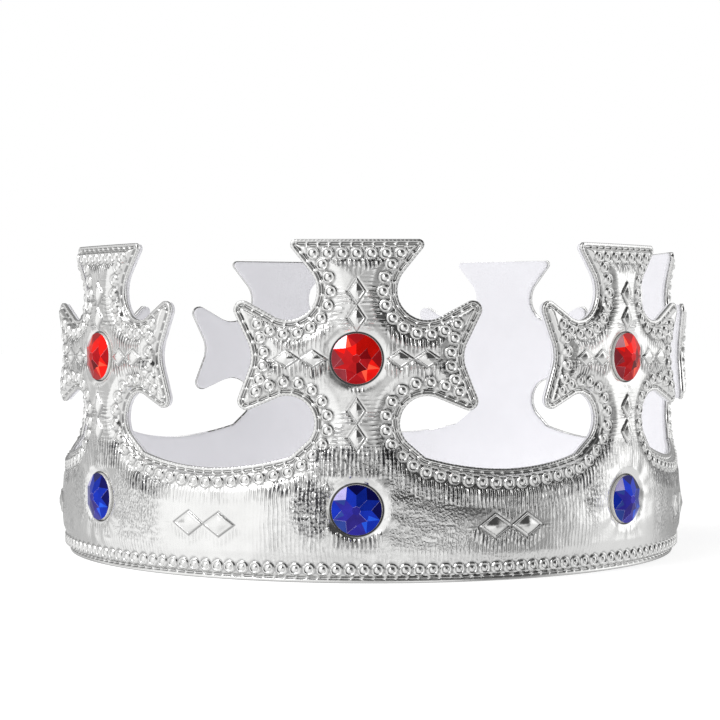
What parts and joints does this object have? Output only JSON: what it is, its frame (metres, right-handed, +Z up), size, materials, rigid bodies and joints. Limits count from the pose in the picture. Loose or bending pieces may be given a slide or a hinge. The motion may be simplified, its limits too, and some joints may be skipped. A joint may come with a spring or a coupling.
{
  "type": "costume crown",
  "caption": "Padded silver costume crown: a closed band with flared crosses, raised diamonds and red and blue cut stones.",
  "frame": {"origin": "centre of the ring on the surface that its bottom edge stands on", "axes": "+Z up along the ring's axis, -Y towards the front cross, +X to the wearer's left"},
  "size_m": [0.1995, 0.1996, 0.0928],
  "materials": {
    "silver_cover": "mirror-like silver foil vinyl, embossed and finely crinkled",
    "pale_backing": "plain matte pale grey sheet",
    "red_stone": "foil-backed cut acrylic, polished",
    "blue_stone": "foil-backed cut acrylic, polished"
  },
  "bodies": {
    "root": {"cover": "silver_cover", "backing": "pale_backing", "closure_patch": "pale_backing", "red_stone_1": "red_stone", "red_stone_2": "red_stone", "red_stone_3": "red_stone", "red_stone_4": "red_stone", "red_stone_5": "red_stone", "red_stone_6": "red_stone", "red_stone_7": "red_stone", "blue_stone_1": "blue_stone", "blue_stone_2": "blue_stone", "blue_stone_3": "blue_stone", "blue_stone_4": "blue_stone", "blue_stone_5": "blue_stone", "blue_stone_6": "blue_stone", "blue_stone_7": "blue_stone"}
  },
  "joints": []
}
